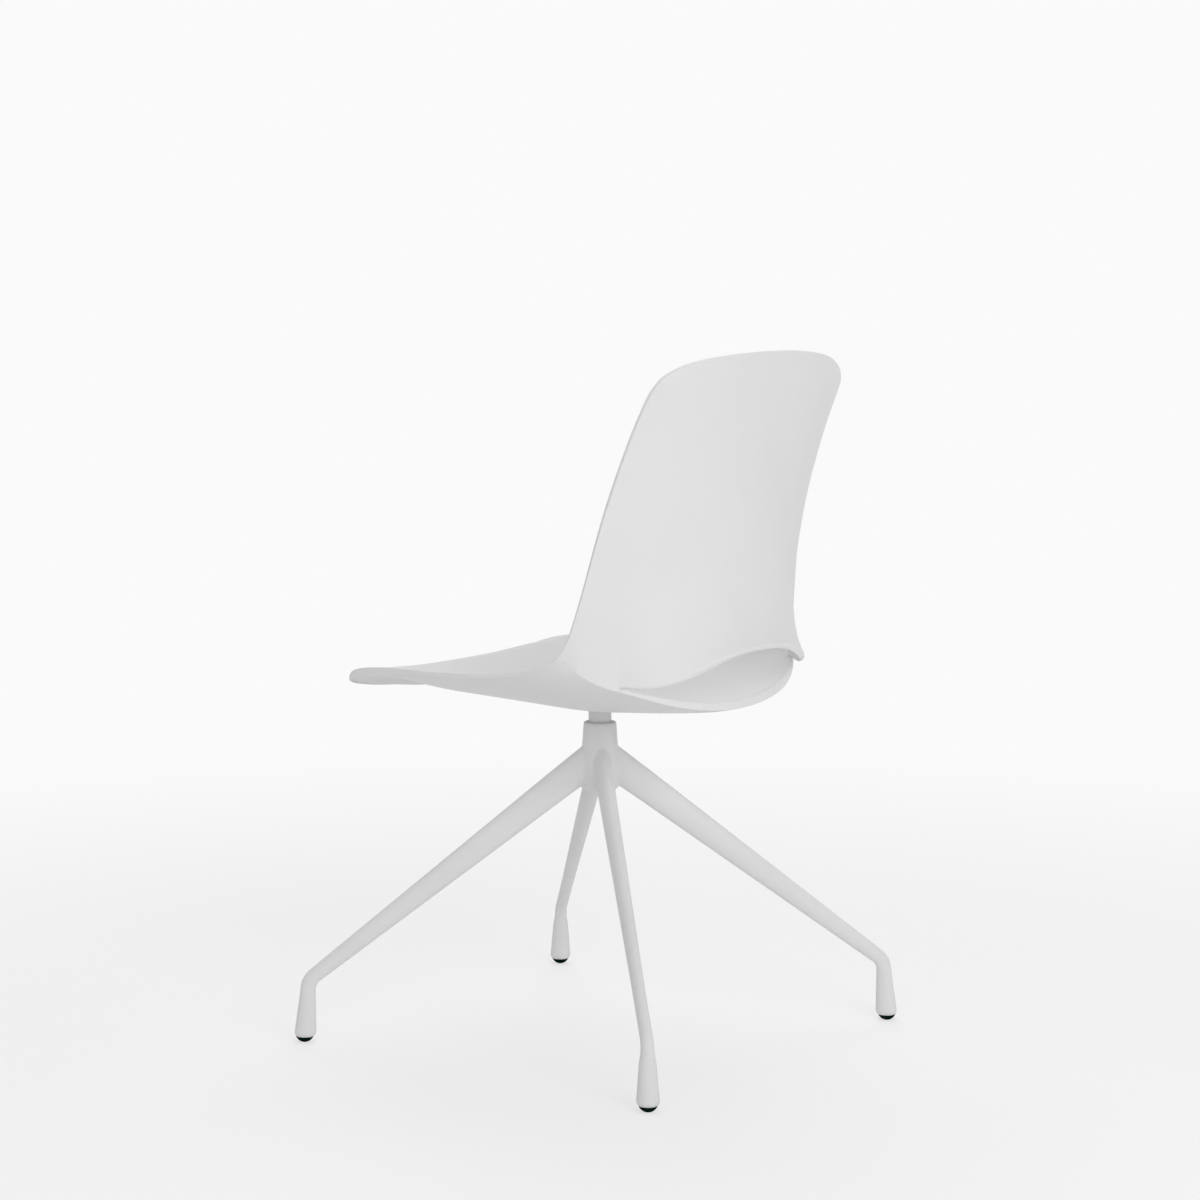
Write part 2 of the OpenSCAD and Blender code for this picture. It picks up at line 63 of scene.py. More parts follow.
# Place, side and power of each soft lamp
LAMPS = {
    "key_lamp": ((1.418, 2.792, 1.8), 1.6, 34),
    "ceiling_lamp": ((-1.447, -1.071, 3.2), 2.0, 33),
    "front_lamp": ((3.108, 1.18, 1.0), 1.2, 8.5),
    "side_lamp": ((-1.624, 2.531, 0.8), 1.4, 5.7),
    "far_lamp": ((1.946, -2.293, 0.8), 1.4, 4),
}

# Points closer than this are one point
MERGE_DISTANCE = 2e-6
MM = 0.001


def deselect():
    if bpy.context.object and bpy.context.object.mode != "OBJECT":
        bpy.ops.object.mode_set(mode="OBJECT")
    bpy.ops.object.select_all(action="DESELECT")


def pick(piece):
    """Makes a piece the only selected object."""
    deselect()
    piece.select_set(True)
    bpy.context.view_layer.objects.active = piece


def start_edit(piece, everything=True):
    """Opens a piece in edit mode, with all or nothing of it selected."""
    pick(piece)
    bpy.ops.object.mode_set(mode="EDIT")
    bpy.ops.mesh.select_mode(type="VERT")
    bpy.ops.mesh.select_all(action="SELECT" if everything else "DESELECT")


def end_edit():
    bpy.ops.object.mode_set(mode="OBJECT")


def select_verts(piece, wanted):
    """Selects the points of a piece in edit mode for which wanted is true."""
    mesh = bmesh.from_edit_mesh(piece.data)
    for vert in mesh.verts:
        vert.select = bool(wanted(vert))
    mesh.select_flush(True)
    mesh.select_flush(False)
    bmesh.update_edit_mesh(piece.data)


def smooth_shade(piece, angle_deg):
    pick(piece)
    bpy.ops.object.shade_smooth_by_angle(angle=math.radians(angle_deg))


def apply_modifier(piece, kind, name, **settings):
    """Adds a modifier to a piece and applies it."""
    pick(piece)
    modifier = piece.modifiers.new(name, kind)
    for key, value in settings.items():
        setattr(modifier, key, value)
    bpy.ops.object.modifier_apply(modifier=name)


def merged_copy(node, name):
    """A copy of a CAD node's mesh as one connected surface, without a finish."""
    deselect()
    piece = bpy.data.objects.new(name, nodes[node].data.copy())
    bpy.context.scene.collection.objects.link(piece)
    piece.data.materials.clear()
    start_edit(piece)
    bpy.ops.mesh.remove_doubles(threshold=MERGE_DISTANCE)
    end_edit()
    return piece


def paint(piece, slot):
    """Gives a piece the finish of its slot and no other."""
    piece.data.materials.clear()
    piece.data.materials.append(MATERIALS[slot])


def finish_piece(piece, body, slot, node):
    """Gives a piece its finish and its body, and hides the CAD node that it stands for."""
    paint(piece, slot)
    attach(piece, body)
    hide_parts(node)


# Finishes

NOISE_DETAIL = 3
# The middle range of a noise, which is stretched over a tint or a roughness
NOISE_RANGE = (0.3, 0.7)


def grey(tone):
    return tone, tone, tone


def new_material(name):
    material = bpy.data.materials.new(name)
    material.use_nodes = True
    tree = material.node_tree
    return material, tree, tree.nodes["Principled BSDF"]


def noise(tree, scale):
    """Noise over the object's own coordinates."""
    place = tree.nodes.new("ShaderNodeTexCoord")
    texture = tree.nodes.new("ShaderNodeTexNoise")
    texture.inputs["Scale"].default_value = scale
    texture.inputs["Detail"].default_value = NOISE_DETAIL
    tree.links.new(place.outputs["Object"], texture.inputs["Vector"])
    return texture.outputs["Fac"]


def spread(tree, source, low, high):
    """Turns a noise's middle range into values from low to high."""
    ramp = tree.nodes.new("ShaderNodeMapRange")
    ramp.inputs["From Min"].default_value = NOISE_RANGE[0]
    ramp.inputs["From Max"].default_value = NOISE_RANGE[1]
    ramp.inputs["To Min"].default_value = low
    ramp.inputs["To Max"].default_value = high
    tree.links.new(source, ramp.inputs["Value"])
    return ramp.outputs["Result"]


def tinted(tree, source, dark, light):
    """A colour that wanders between two tints with a noise."""
    mix = tree.nodes.new("ShaderNodeMix")
    mix.data_type = "RGBA"
    mix.inputs["A"].default_value = (*dark, 1)
    mix.inputs["B"].default_value = (*light, 1)
    tree.links.new(spread(tree, source, 0, 1), mix.inputs["Factor"])
    return mix.outputs["Result"]


def bumped(tree, source, depth):
    bump = tree.nodes.new("ShaderNodeBump")
    bump.inputs["Distance"].default_value = depth
    tree.links.new(source, bump.inputs["Height"])
    return bump.outputs["Normal"]


def grained(name, dark, light, rough, grain, depth, metal=0.0, drift=9.0, specular=0.5):
    """A finish whose tint drifts slowly and whose grain is fine."""
    material, tree, shader = new_material(name)
    shader.inputs["Metallic"].default_value = metal
    shader.inputs["Specular IOR Level"].default_value = specular
    slow = noise(tree, drift)
    fine = noise(tree, grain)
    tree.links.new(tinted(tree, slow, dark, light), shader.inputs["Base Color"])
    tree.links.new(spread(tree, fine, *rough), shader.inputs["Roughness"])
    tree.links.new(bumped(tree, fine, depth), shader.inputs["Normal"])
    return material


# Of each slot: name, darker and lighter tint, range of roughness, scale and depth of the grain
MATERIALS = {
    "shell_plastic": grained(
        "moulded_white", grey(0.77), grey(0.79), (0.44, 0.52), 900, 0.00004, specular=0.2
    ),
    "coated_metal": grained(
        "powder_coat", grey(0.75), grey(0.77), (0.52, 0.62), 1400, 0.00003, specular=0.15
    ),
    "plate_steel": grained(
        "zinc_plate", (0.55, 0.56, 0.57), (0.63, 0.64, 0.65), (0.3, 0.42), 500, 0.00003,
        metal=1.0, drift=30,
    ),
    "screw_steel": grained(
        "zinc_screws", (0.6, 0.6, 0.61), (0.66, 0.66, 0.67), (0.26, 0.36), 1500, 0.00002,
        metal=1.0, drift=60,
    ),
    "brass": grained(
        "turned_brass", (0.72, 0.55, 0.27), (0.8, 0.63, 0.33), (0.25, 0.35), 1500, 0.00002,
        metal=1.0, drift=60,
    ),
    "bush_plastic": grained(
        "acetal", (0.82, 0.8, 0.74), (0.86, 0.84, 0.78), (0.35, 0.45), 1200, 0.00002
    ),
    "cap_plastic": grained(
        "cap_white", grey(0.72), grey(0.75), (0.45, 0.55), 1200, 0.00003
    ),
    "glide_plastic": grained(
        "glide_black", (0.003, 0.012, 0.007), (0.006, 0.017, 0.011), (0.5, 0.6), 1200, 0.00003,
        specular=0.0,
    ),
    "sleeve_plastic": grained(
        "sleeve_grey", grey(0.2), grey(0.24), (0.45, 0.55), 1200, 0.00003
    ),
}


# Pieces drawn out ring by ring

def turn_about_y(angle, centre):
    """Turns what is selected; a positive angle tips +Z towards +X."""
    if angle:
        bpy.ops.transform.rotate(value=-angle, orient_axis="Y", center_override=centre)


def open_ring(name, sides, centre, size, tilt=0.0):
    """Starts a piece with a ring of points across the upright line through its centre."""
    deselect()
    bpy.ops.mesh.primitive_circle_add(vertices=sides, radius=0.5)
    piece = bpy.context.object
    piece.name = name
    start_edit(piece)
    bpy.ops.transform.resize(value=(size[0], size[1], 1), center_override=(0, 0, 0))
    bpy.ops.transform.translate(value=centre)
    turn_about_y(tilt, centre)
    return {"piece": piece, "centre": Vector(centre), "size": size, "tilt": tilt}


def next_ring(pen, centre, size, tilt=None):
    """Extrudes the last ring to a new place, size and tilt."""
    centre = Vector(centre)
    tilt = pen["tilt"] if tilt is None else tilt
    way = centre - pen["centre"]
    bpy.ops.mesh.extrude_region_move(TRANSFORM_OT_translate={"value": way})
    turn_about_y(-pen["tilt"], centre)
    grow = (size[0] / pen["size"][0], size[1] / pen["size"][1], 1)
    bpy.ops.transform.resize(value=grow, center_override=centre)
    turn_about_y(tilt, centre)
    pen.update(centre=centre, size=size, tilt=tilt)


def turned_piece(name, profile, sides, at=(0, 0), closed=True):
    """A round piece from its profile, a list of diameters and heights in millimetres.

    A closed profile ends where it starts; an open one gets flat faces over its two ends.
    """
    (wide, high), *others = profile
    pen = open_ring(name, sides, (*at, high * MM), (wide * MM, wide * MM))
    for wide, high in others:
        next_ring(pen, (*at, high * MM), (wide * MM, wide * MM))
    bpy.ops.mesh.select_all(action="SELECT")
    if closed:
        bpy.ops.mesh.remove_doubles(threshold=MERGE_DISTANCE)
    else:
        bpy.ops.mesh.region_to_loop()
        bpy.ops.mesh.edge_face_add()
        bpy.ops.mesh.select_all(action="SELECT")
    bpy.ops.mesh.normals_make_consistent(inside=False)
    end_edit()
    return pen["piece"]


# The shell: recess of the mounting plate and holes of its four inserts

# The solid's own recess lies this near the axis and below this height
RECESS_REACH = 0.0506
RECESS_TOP = 0.4042
RECESS_SIDE = 0.1006
RECESS_ROUND = 0.012
RECESS_ROOF = 0.398
RECESS_CUT_DEEP = 0.03
INSERT_PITCH = 0.074
INSERT_WIDE = 0.009
INSERT_DEEP = 0.006
INSERT_ROOM = 0.001


def in_recess(vert):
    """True for points of the shell on the recess of the mounting plate."""
    x, y, z = vert.co
    return abs(x) < RECESS_REACH and abs(y) < RECESS_REACH and z < RECESS_TOP


def fill_recess(shell):
    """Takes the plate's recess out of the shell's grid and closes the belly over it."""
    start_edit(shell, everything=False)
    select_verts(shell, in_recess)
    bpy.ops.mesh.delete(type="VERT")
    bpy.ops.mesh.select_all(action="SELECT")
    bpy.ops.mesh.region_to_loop()
    bpy.ops.mesh.edge_face_add()
    end_edit()


def cut_away(piece, tool):
    """Takes one solid out of another."""
    apply_modifier(
        piece, "BOOLEAN", "cut", operation="DIFFERENCE", object=tool, solver="MANIFOLD"
    )
    bpy.data.objects.remove(tool)


def recess_block():
    """A block with rounded upright edges, in the shape of the recess."""
    deselect()
    middle = RECESS_ROOF - RECESS_CUT_DEEP / 2
    bpy.ops.mesh.primitive_cube_add(size=1, location=(0, 0, middle))
    block = bpy.context.object
    block.scale = (RECESS_SIDE, RECESS_SIDE, RECESS_CUT_DEEP)
    bpy.ops.object.transform_apply(location=True, scale=True)
    start_edit(block, everything=False)
    bpy.ops.mesh.select_mode(type="EDGE")
    mesh = bmesh.from_edit_mesh(block.data)
    for edge in mesh.edges:
        a, b = edge.verts
        edge.select = abs(a.co.z - b.co.z) > RECESS_CUT_DEEP / 2
    bmesh.update_edit_mesh(block.data)
    bpy.ops.mesh.bevel(offset=RECESS_ROUND, segments=8, affect="EDGES")
    end_edit()
    return block


def cut_recess(shell):
    """Cuts the plate's recess and the holes of the four inserts into the finished belly."""
    cut_away(shell, recess_block())
    middle = RECESS_ROOF + INSERT_DEEP / 2
    for x in (-INSERT_PITCH / 2, INSERT_PITCH / 2):
        for y in (-INSERT_PITCH / 2, INSERT_PITCH / 2):
            deselect()
            bpy.ops.mesh.primitive_cylinder_add(
                vertices=32, radius=INSERT_WIDE / 2, depth=INSERT_DEEP + INSERT_ROOM,
                location=(x, y, middle),
            )
            cut_away(shell, bpy.context.object)


# The shell: where it is softer than the plain solid

# The seam of seat and back: its half width, and its y and height at the middle and at the ear
SEAM_HALF = 0.2275
SEAM_Y = (0.199, 0.113)
SEAM_HEIGHT = (0.4284, 0.479)
# Power of its sweep in plan, and the share and power of its late turn upwards
SEAM_SWEEP_POWER = 2.8
SEAM_LATE = 0.8
SEAM_LATE_POWER = 8
# Slopes of the rim before and behind the ear, and the radius that joins them
EAR_SLOPES = (math.radians(27), math.radians(67.6))
EAR_RADIUS = 0.036
# Half width at which the rounding of the ear's corner begins
EAR_ROUND_FROM = 0.205

# Fill under the front edge: how far ahead it starts and is full, and its depth, half width and
# fade over the whole edge and again at its middle
UNDER_FRONT = (0.19, 0.245)
FRONT_FILL = 0.0034
FRONT_FILL_HALF = 0.105
FRONT_FILL_FADE = 0.09
MIDDLE_FILL = 0.0018
MIDDLE_FILL_HALF = 0.056
MIDDLE_FILL_FADE = 0.03
# Rise under the front corners, and the half widths where it starts and is full
CORNER_RISE = 0.0009
CORNER_HALF = (0.108, 0.135)
# Half widths where the moves of the side rims start and are full
SIDE_HALF = (0.13, 0.172)
# Droop of the front's outer corners, where the normal's upward part is less than DROOP_FACING
DROOP = 0.0025
DROOP_AHEAD = (0.2, 0.23)
DROOP_FACING = 0.86
# Lift of the sitter's side of the rim. Along the front: half width and lift, and how far ahead
# the lift starts and is full. Along the sides: y and lift.
FRONT_LIFT = [
    (0.06, 0), (0.085, 0.0004), (0.108, 0.0015), (0.147, 0.0024), (0.17, 0.0008), (0.185, 0),
]
FRONT_LIFT_AHEAD = (0.17, 0.215)
RIM_LIFT = [(-0.222, 0.0001), (-0.206, 0.0006), (-0.189, 0.0014), (-0.149, 0.0025), (-0.09, 0)]

# The back's lower lip: where it lies, how its underside faces, and how far it moves
LIP_BEHIND = 0.15
LIP_HALF = 0.176
LIP_HEIGHTS = (0.44, 0.478)
LIP_FACING = -0.3
LIP_OUT = 0.0018
LIP_DROP_INNER = 0.005
LIP_DROP_OUTER = 0.0026
LIP_DROP_HALF = (0.03, 0.11)
LIP_END_FADE = 0.03


def rise(value, low, high):
    """From 0 at low to 1 at high, without corners."""
    share = min(1, max(0, (value - low) / (high - low)))
    return share * share * (3 - 2 * share)


def from_table(table, value):
    """Reads a value between the rows of a table with rising first entries."""
    for a, b in zip(table, table[1:]):
        if value <= b[0]:
            return a[1] + (b[1] - a[1]) * min(1, max(0, (value - a[0]) / (b[0] - a[0])))
    return table[-1][1]


def seam_at(half):
    """Y and height of the seam at a distance from the middle."""
    share = min(1, half / SEAM_HALF)
    back = share ** SEAM_SWEEP_POWER
    up = (1 - SEAM_LATE) * share ** 2 + SEAM_LATE * share ** SEAM_LATE_POWER
    (y, y_ear), (z, z_ear) = SEAM_Y, SEAM_HEIGHT
    return y + (y_ear - y) * back, z + (z_ear - z) * up


def ear_move(place):
    """Rounds the corner between the rim of the seat and the edge of the back."""
    half = abs(place.x)
    radius = EAR_RADIUS * rise(half, EAR_ROUND_FROM, SEAM_HALF)
    if radius <= 0:
        return Vector()
    y, z = seam_at(half)
    before, behind = EAR_SLOPES
    middle, turn = (before + behind) / 2, (behind - before) / 2
    along = (place.y - y) * math.cos(middle) + (place.z - z) * math.sin(middle)
    room = radius * math.tan(turn) - abs(along) / math.cos(turn)
    if room <= 0:
        return Vector()
    far = room * room / (2 * radius) / math.cos(turn)
    return far * Vector((0, -math.sin(middle), math.cos(middle)))


def front_move(place, normal):
    """Fills the underside of the front edge and evens the rim around its corners."""
    half = abs(place.x)
    ahead = -place.y
    if normal.z < 0:
        fill = (
            FRONT_FILL * rise(FRONT_FILL_HALF - half, 0, FRONT_FILL_FADE)
            + MIDDLE_FILL * rise(MIDDLE_FILL_HALF - half, 0, MIDDLE_FILL_FADE)
        )
        lift = CORNER_RISE * rise(half, *CORNER_HALF) - fill
        return Vector((0, 0, rise(ahead, *UNDER_FRONT) * lift))
    side = rise(half, *SIDE_HALF)
    if normal.z < DROOP_FACING and ahead > DROOP_AHEAD[0]:
        return Vector((0, 0, -DROOP * side * rise(ahead, *DROOP_AHEAD)))
    along_front = from_table(FRONT_LIFT, half) * rise(ahead, *FRONT_LIFT_AHEAD)
    return Vector((0, 0, along_front + side * from_table(RIM_LIFT, place.y)))


def lip_move(place, normal):
    """Draws the inner edge of the lip further down towards the slot's ends."""
    half = abs(place.x)
    low, high = LIP_HEIGHTS
    on_lip = place.y >= LIP_BEHIND and half <= LIP_HALF and low < place.z < high
    if not on_lip or normal.z > LIP_FACING:
        return Vector()
    share = rise(half, *LIP_DROP_HALF) * rise(LIP_HALF - half, 0, LIP_END_FADE)
    drop = LIP_DROP_INNER if normal.y < 0 else LIP_DROP_OUTER
    return Vector((0, LIP_OUT * share, -drop * share))


def shape_shell(shell):
    """Moves points of the grid where the real shell is softer than the plain solid."""
    start_edit(shell, everything=False)
    mesh = bmesh.from_edit_mesh(shell.data)
    mesh.normal_update()
    moves = [
        ear_move(vert.co) + front_move(vert.co, vert.normal) + lip_move(vert.co, vert.normal)
        for vert in mesh.verts
    ]
    for vert, move in zip(mesh.verts, moves):
        vert.co += move
    bmesh.update_edit_mesh(shell.data)
    end_edit()


# The shell: its outer face is blended over the ears

# A face that faces out and down has a normal whose y less z is more than this
EAR_FACING = 0.4
# The patch that is smoothed: its half width and its reach from the seam
EAR_PATCH_FROM = 0.2
EAR_SOFT_REACH = 0.03
# Half width at which the softening starts, the width over which it comes in, and how steeply it
# fades towards the patch's edge
EAR_SOFT_FROM = 0.2145
EAR_SOFT_OVER = 0.005
EAR_SOFT_FADE = 2.5
# Radius and rounds of the smoothing
EAR_SOFT_RADIUS = 0.006
EAR_SOFT_ROUNDS = 3
# Points beside the patch follow it: where they lie, how far off, and over what radius
EAR_BESIDE = (0.08, 0.16)
EAR_SOFT_BEYOND = 0.008
EAR_SOFT_BLEND = 0.0025


def ear_patch(mesh, side):
    """The points of the outer face around one ear."""
    patch = []
    for vert in mesh.verts:
        half = side * vert.co.x
        if half < EAR_PATCH_FROM:
            continue
        y, z = seam_at(half)
        near = math.hypot(vert.co.y - y, vert.co.z - z) < EAR_SOFT_REACH
        if near and vert.normal.y - vert.normal.z > EAR_FACING:
            patch.append(vert)
    return patch


def bell(squares, radius, areas):
    """Weights that fall off with the square of a distance, for points that hold some area."""
    return numpy.exp(-squares / (2 * radius ** 2)) * areas


def ear_share(places, side):
    """How much of the softening each point of a patch gets, from 0 to 1."""
    seams = numpy.array([seam_at(side * place[0]) for place in places])
    away = numpy.hypot(places[:, 1] - seams[:, 0], places[:, 2] - seams[:, 1]) / EAR_SOFT_REACH
    share = numpy.clip((side * places[:, 0] - EAR_SOFT_FROM) / EAR_SOFT_OVER, 0, 1)
    return share * numpy.clip((1 - away) * EAR_SOFT_FADE, 0, 1)


def softened(places, normals, areas, share):
    """Moves points along the mean normal around them to the mean height of the surface."""
    places = places.copy()
    for _ in range(EAR_SOFT_ROUNDS):
        squares = (places ** 2).sum(1)
        gaps = squares[:, None] + squares[None] - 2 * places @ places.T
        weight = bell(gaps, EAR_SOFT_RADIUS, areas)
        weight /= weight.sum(1)[:, None]
        facing = weight @ normals
        facing /= numpy.linalg.norm(facing, axis=1)[:, None]
        depth = ((weight @ places - places) * facing).sum(1) * share
        places += depth[:, None] * facing
    return places


def follow_patch(verts, places, moves, areas):
    """Carries points along with the patch beside them, the less the further off they are."""
    for vert in verts:
        gaps = numpy.linalg.norm(places - numpy.array(vert.co), axis=1)
        share = 1 - float(gaps.min()) / EAR_SOFT_BEYOND
        if share > 0:
            weight = bell(gaps ** 2, EAR_SOFT_BLEND, areas)
            vert.co += share * Vector((weight @ moves / weight.sum()).tolist())


def soften_ears(shell):
    """Blends the underside into the back's rear face near the ears."""
    start_edit(shell, everything=False)
    mesh = bmesh.from_edit_mesh(shell.data)
    mesh.normal_update()
    near, far = EAR_BESIDE
    for side in (1, -1):
        patch = ear_patch(mesh, side)
        places = numpy.array([vert.co for vert in patch])
        normals = numpy.array([vert.normal for vert in patch])
        areas = numpy.array([sum(face.calc_area() for face in vert.link_faces) for vert in patch])
        smooth = softened(places, normals, areas, ear_share(places, side))
        in_patch = set(patch)
        beside = [
            vert for vert in mesh.verts
            if side * vert.co.x >= EAR_SOFT_FROM and near < vert.co.y < far
            and vert not in in_patch
        ]
        follow_patch(beside, places, smooth - places, areas)
        for vert, place in zip(patch, smooth):
            vert.co = place
    bmesh.update_edit_mesh(shell.data)
    end_edit()


# The shell: rounded edges

# Faces at a sharper angle than this meet in an edge that is rounded
SHARP_EDGE = math.radians(38)
# A face counts as facing a way if its normal goes that way by more than this
FACING = 0.5
RIM_ROUND = 0.0013
# The front edge's radius, and how far ahead it starts to grow and is full
FRONT_ROUND = 0.0062
FRONT_ROUND_AHEAD = (0.17, 0.225)
# The lip's radius at its middle, the power with which it shrinks to the slot's ends, and its
# heights
LIP_ROUND = 0.0036
LIP_ROUND_POWER = 6
LIP_EDGE_HEIGHTS = (0.438, 0.49)
# The outer edge under the ears stays as it is up to this height
EAR_TOP = 0.5


def rounding_of(edge):
    """The radius of a sharp edge of the shell."""
    middle = (edge.verts[0].co + edge.verts[1].co) / 2
    half = abs(middle.x)
    normals = [face.normal for face in edge.link_faces]
    at_ear = half > EAR_SOFT_FROM and middle.z < EAR_TOP
    if at_ear and all(normal.y - normal.z > EAR_FACING for normal in normals):
        return 0
    low, high = LIP_EDGE_HEIGHTS
    at_lip = middle.y > LIP_BEHIND and low < middle.z < high
    faces_back = max(normal.y for normal in normals) > FACING
    faces_down = min(normal.z for normal in normals) < -FACING
    if at_lip and faces_back and faces_down:
        share = min(1, half / LIP_HALF) ** LIP_ROUND_POWER
        return LIP_ROUND + (RIM_ROUND - LIP_ROUND) * share
    faces_up = max(normal.z for normal in normals) > FACING
    share = rise(-middle.y, *FRONT_ROUND_AHEAD) if faces_up else 0
    return RIM_ROUND + (FRONT_ROUND - RIM_ROUND) * share


def weigh_edges(shell):
    """Marks the sharp edges for rounding, as shares of the front edge's radius."""
    start_edit(shell, everything=False)
    mesh = bmesh.from_edit_mesh(shell.data)
    layers = mesh.edges.layers.float
    weight = layers.get("bevel_weight_edge") or layers.new("bevel_weight_edge")
    for edge in mesh.edges:
        if len(edge.link_faces) == 2 and edge.calc_face_angle(0) > SHARP_EDGE:
            edge[weight] = rounding_of(edge) / FRONT_ROUND
    bmesh.update_edit_mesh(shell.data)
    end_edit()


def add_shell():
    shell = merged_copy("seat_shell", "moulded_shell")
    fill_recess(shell)
    start_edit(shell)
    bpy.ops.mesh.tris_convert_to_quads(
        face_threshold=math.pi, shape_threshold=math.pi, topology_influence=1.0
    )
    end_edit()
    shape_shell(shell)
    weigh_edges(shell)
    apply_modifier(
        shell, "BEVEL", "rounded_edges", width=FRONT_ROUND, segments=3, profile=0.5,
        limit_method="WEIGHT", use_clamp_overlap=False,
    )
    apply_modifier(shell, "SUBSURF", "smooth_surface", levels=2, render_levels=2)
    soften_ears(shell)
    cut_recess(shell)
    smooth_shade(shell, 40)
    finish_piece(shell, "seat", "shell_plastic", "seat_shell")


# The base

HUB_PROFILE = [
    (27.8, 307.5), (27.8, 291.2), (29.2, 290.5), (37.0, 290.5), (38.6, 291.0), (43.9, 294.4),
    (44.7, 295.8), (44.8, 297.5), (44.8, 301.8), (44.4, 310.0), (42.8, 336.7), (41.2, 350.0),
    (38.8, 367.9), (38.5, 369.2), (37.8, 370.3), (36.7, 371.1), (35.2, 371.5), (29.2, 371.5),
    (28.2, 371.2), (27.8, 370.6), (27.8, 339.5), (25.1, 339.5), (25.1, 307.5), (27.8, 307.5),
]
STEM_PROFILE = [
    (8.0, 322.7), (8.0, 305.1), (8.8, 304.7), (19.2, 304.7), (20.0, 305.1), (20.0, 344.05),
    (25.8, 344.05), (26.8, 344.5), (26.8, 391.6), (27.0, 392.6), (27.8, 393.5), (29.4, 393.98),
    (20.0, 393.98), (20.0, 397.6), (19.2, 398.0),
]
GLIDE_PROFILE = [
    (5.6, 0.0), (6.8, 0.12), (8.8, 0.5), (11.2, 1.1), (13.9, 2.0), (16.5, 3.2), (18.7, 4.6),
    (20.4, 6.0), (20.9, 6.6), (20.8, 6.95), (20.4, 7.1), (8.0, 7.1), (8.0, 30.2), (7.2, 30.8),
]
# Diameters and heights of the foot below its knee, and of the bore inside it
FOOT_PROFILE = [
    (19.2, 52), (21.0, 40), (22.8, 29), (24.2, 20), (25.1, 15), (25.5, 12.2), (25.4, 11.0),
    (25.0, 10.0), (24.3, 9.1), (23.5, 8.5), (23.2, 8.35), (22.9, 8.1), (21.8, 7.2), (21.2, 7.1),
]
FOOT_BORE = [(11.0, 7.1), (11.0, 30.8)]

# A leg that leaves the hub along +X: the points on its axis, and its depth and width there
LEG_ROOT = Vector((22.4, 0, 318)) * MM
LEG_KNEE = Vector((345, 0, 73)) * MM
LEG_GROUND = Vector((350, 0, 0)) * MM
LEG_ROOT_SIZE = (37.4 * MM, 20.8 * MM)
LEG_KNEE_SIZE = (17.8 * MM, 14.1 * MM)
LEG_NECK_SIZE = (17.6 * MM, 15.2 * MM)
# Share of the tube's length after which its width stays the same
LEG_SLIM_SHARE = 0.82
# Distances from the root at which the tube's end on the hub and its first free ring are drawn
LEG_END_AT = 0.02
LEG_FREE_FROM = 0.036
LEG_SIDES = 48
LEG_STEPS = 12
KNEE_RADIUS = 22 * MM
KNEE_STEPS = 10
# Turn of each leg about the swivel axis, in degrees
LEGS = {"front_left": -45, "front_right": -135, "rear_left": 45, "rear_right": 135}

# The weld's collar: factors by which it spreads beyond the tube's end and then sinks into the
# hub, and the radius of the bead
WELD_REACH = (1, 1.30, 1.13)
WELD_SINK = (0.993, 0.993, 1)
WELD_RADIUS = 0.0026


def between(a, b, share):
    return tuple(x + (y - x) * share for x, y in zip(a, b))


def leg_size(share):
    """Depth and width of the tube at a share of its length."""
    deep, _ = between(LEG_ROOT_SIZE, LEG_KNEE_SIZE, share)
    _, wide = between(LEG_ROOT_SIZE, LEG_KNEE_SIZE, min(1, share / LEG_SLIM_SHARE))
    return deep, wide


def draw_knee(pen, start, tilt, bend):
    """Bends the tube down, at an even radius."""
    pivot = start - Vector((-math.cos(tilt), 0, math.sin(tilt))) * KNEE_RADIUS
    for step in range(1, KNEE_STEPS + 1):
        share = step / KNEE_STEPS
        now = tilt + bend * share
        outward = Vector((-math.cos(now), 0, math.sin(now)))
        size = between(LEG_KNEE_SIZE, LEG_NECK_SIZE, share)
        next_ring(pen, pivot + outward * KNEE_RADIUS, size, now)


def draw_foot(pen):
    """Flares the foot, turns in under it and closes the bore of the glide's pin."""
    lean = (LEG_KNEE.x - LEG_GROUND.x) / LEG_KNEE.z
    for wide, high in FOOT_PROFILE:
        centre = (LEG_GROUND.x + lean * high * MM, 0, high * MM)
        next_ring(pen, centre, (wide * MM, wide * MM), math.pi)
    for wide, high in FOOT_BORE:
        next_ring(pen, (LEG_GROUND.x, 0, high * MM), (wide * MM, wide * MM), math.pi)
    bpy.ops.mesh.edge_face_add()


def make_leg(hub):
    """One leg: tapered tube, bent knee, flared foot, weld at the hub."""
    way = (LEG_KNEE - LEG_ROOT).normalized()
    foot_way = (LEG_GROUND - LEG_KNEE).normalized()
    tilt = math.atan2(way.x, way.z)
    bend = math.atan2(foot_way.x, foot_way.z) - tilt
    start = LEG_KNEE - way * KNEE_RADIUS * math.tan(bend / 2)
    length = (start - LEG_ROOT).length

    first_at = LEG_ROOT + way * LEG_FREE_FROM
    pen = open_ring("leg", LEG_SIDES, first_at, leg_size(LEG_FREE_FROM / length), tilt)
    leg = pen["piece"]
    first = dict(pen)
    for step in range(1, LEG_STEPS + 1):
        along = LEG_FREE_FROM + (length - LEG_FREE_FROM) * step / LEG_STEPS
        next_ring(pen, LEG_ROOT + way * along, leg_size(along / length))
    draw_knee(pen, start, tilt, bend)
    draw_foot(pen)

    select_verts(leg, lambda vert: vert.index < LEG_SIDES)
    next_ring(first, LEG_ROOT + way * LEG_END_AT, LEG_ROOT_SIZE)
    mark_group(leg, "cope")
    lay_on_hub(leg, hub, tilt)
    add_weld(leg, hub)
    return leg


def mark_group(piece, name):
    """Puts the selected points into a new group."""
    group = piece.vertex_groups.new(name=name)
    piece.vertex_groups.active_index = group.index
    bpy.ops.object.vertex_group_assign()


